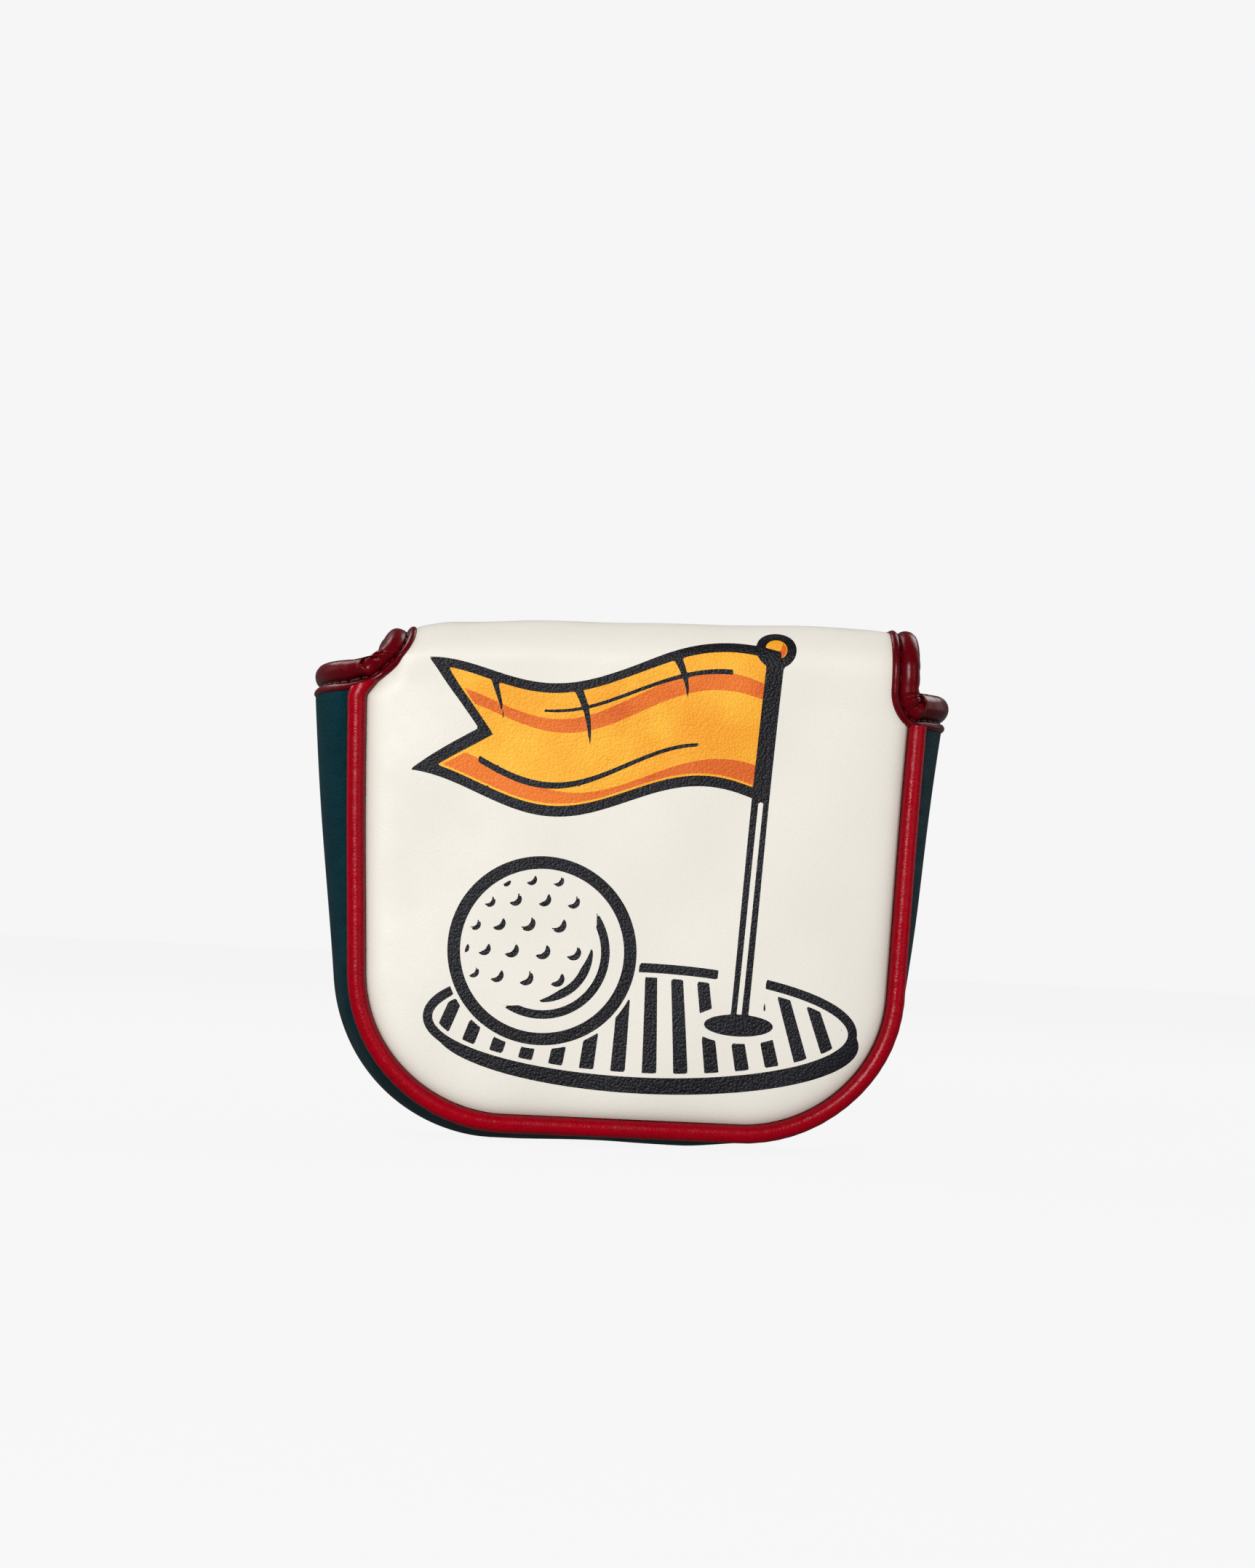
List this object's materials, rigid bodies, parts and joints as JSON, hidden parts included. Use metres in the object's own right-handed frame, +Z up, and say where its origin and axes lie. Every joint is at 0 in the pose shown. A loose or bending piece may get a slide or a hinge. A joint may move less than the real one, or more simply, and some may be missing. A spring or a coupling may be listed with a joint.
{
  "type": "putter head cover",
  "caption": "Padded leather mallet putter head cover: a pouch with gusset, piping, padded binding, side shaft notches and a flap that closes behind with magnets.",
  "frame": {"origin": "under the middle of the pouch, on the surface it stands on", "axes": "+Z up, the decorated front faces -Y, +X to the right seen from the front"},
  "size_m": [0.1406, 0.0512, 0.1154],
  "materials": {
    "cream_leather": "cream synthetic leather, fine grain, soft satin",
    "teal_leather": "dark teal synthetic leather, fine grain, satin",
    "piping_leather": "red synthetic leather, satin with soft highlights",
    "binding_leather": "dark red synthetic leather, glossy",
    "print_ink": "printed ink that takes the leather's grain",
    "foam": "open-cell foam",
    "plush": "short-pile plush lining",
    "cord": "twisted cotton cord",
    "thread": "bonded polyester thread",
    "magnet": "nickel-plated disc"
  },
  "bodies": {
    "pouch": {"front_panel": "cream_leather", "front_foam": "foam", "front_lining": "plush", "back_panel": "teal_leather", "back_foam": "foam", "back_lining": "plush", "gusset": "teal_leather", "gusset_foam": "foam", "gusset_lining": "plush", "front_piping": "piping_leather", "front_piping_cord": "cord", "back_piping": "piping_leather", "back_piping_cord": "cord", "mouth_binding": "binding_leather", "mouth_binding_filler": "foam", "mouth_stitching": "thread", "pouch_magnet_left": "magnet", "pouch_magnet_right": "magnet"},
    "flap": {"flap_panel": "cream_leather", "flap_foam": "foam", "flap_lining": "plush", "flap_binding_left": "binding_leather", "flap_binding_right": "binding_leather", "flap_filler_left": "foam", "flap_filler_right": "foam", "flap_stitching": "thread"},
    "flap_tail": {"tail_panel": "cream_leather", "tail_foam": "foam", "tail_lining": "plush", "tail_binding": "binding_leather", "tail_filler": "foam", "tail_stitching": "thread", "tail_magnet_left": "magnet", "tail_magnet_right": "magnet"}
  },
  "joints": [
    {"name": "flap_hinge", "type": "hinge", "parent": "pouch", "child": "flap", "pos_m": [0, -0.02078, 0.11228], "axis": [1, 0, 0], "range_deg": [0, 120]},
    {"name": "tail_hinge", "type": "hinge", "parent": "flap", "child": "flap_tail", "pos_m": [0, 0.02418, 0.11228], "axis": [1, 0, 0], "range_deg": [0, 80]}
  ]
}
